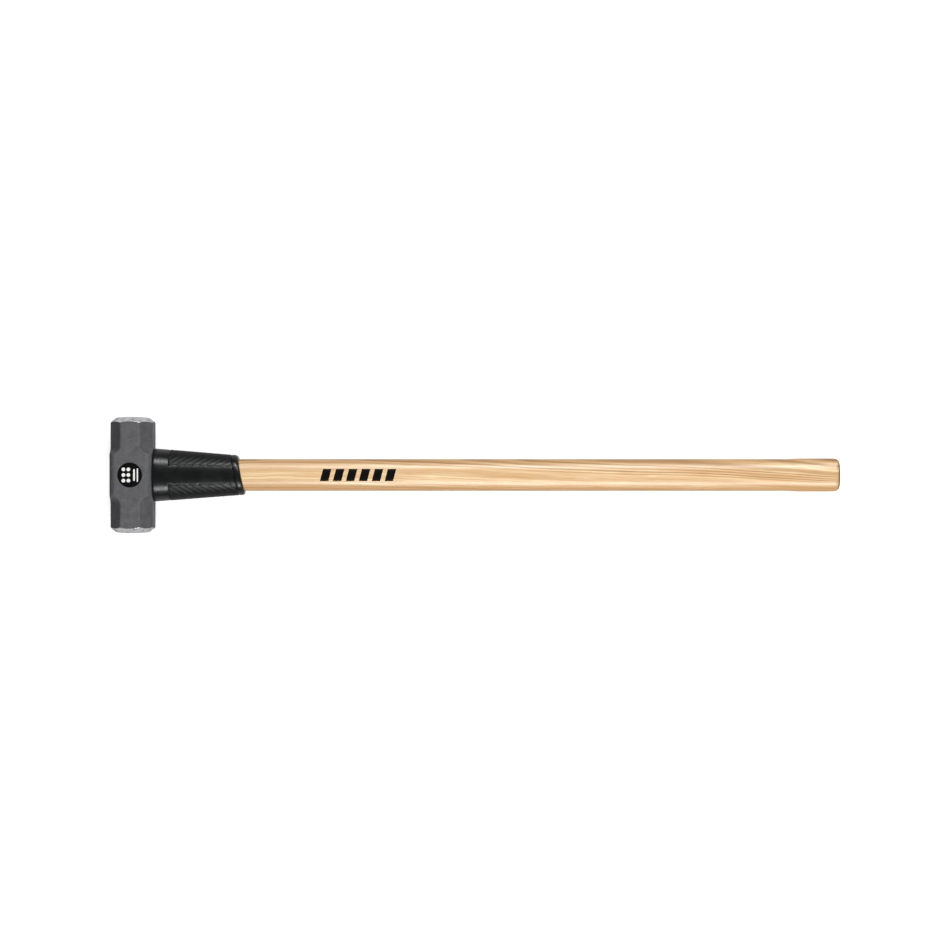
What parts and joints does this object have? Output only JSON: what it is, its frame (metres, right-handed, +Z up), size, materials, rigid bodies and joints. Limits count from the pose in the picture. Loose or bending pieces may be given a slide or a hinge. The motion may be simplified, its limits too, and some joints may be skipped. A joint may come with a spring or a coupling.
{
  "type": "sledgehammer",
  "caption": "Double-faced sledgehammer with an octagonal steel head, a long straight oval wooden handle wedged in its eye and a moulded overstrike guard below the head.",
  "frame": {"origin": "on the cheek that the hammer lies on, right below the centre of the eye", "axes": "+X along the handle from the head to the grip, +Y along the head from one striking face to the other, +Z up out of the upper cheek"},
  "size_m": [0.9144, 0.1466, 0.0534],
  "materials": {
    "head_steel": "grey enamel over forged steel, with ground steel striking faces",
    "hickory": "clear lacquered hickory",
    "wedge_wood": "plain hardwood, sawn flush",
    "wedge_steel": "plain steel, ground flush",
    "guard_rubber": "satin black moulded rubber",
    "label_film": "black printed film with a white mark"
  },
  "bodies": {
    "root": {"hammer_head": "head_steel", "handle": "hickory", "wood_wedge": "wedge_wood", "front_steel_wedge": "wedge_steel", "back_steel_wedge": "wedge_steel", "overstrike_guard": "guard_rubber", "weight_label": "label_film"}
  },
  "joints": []
}
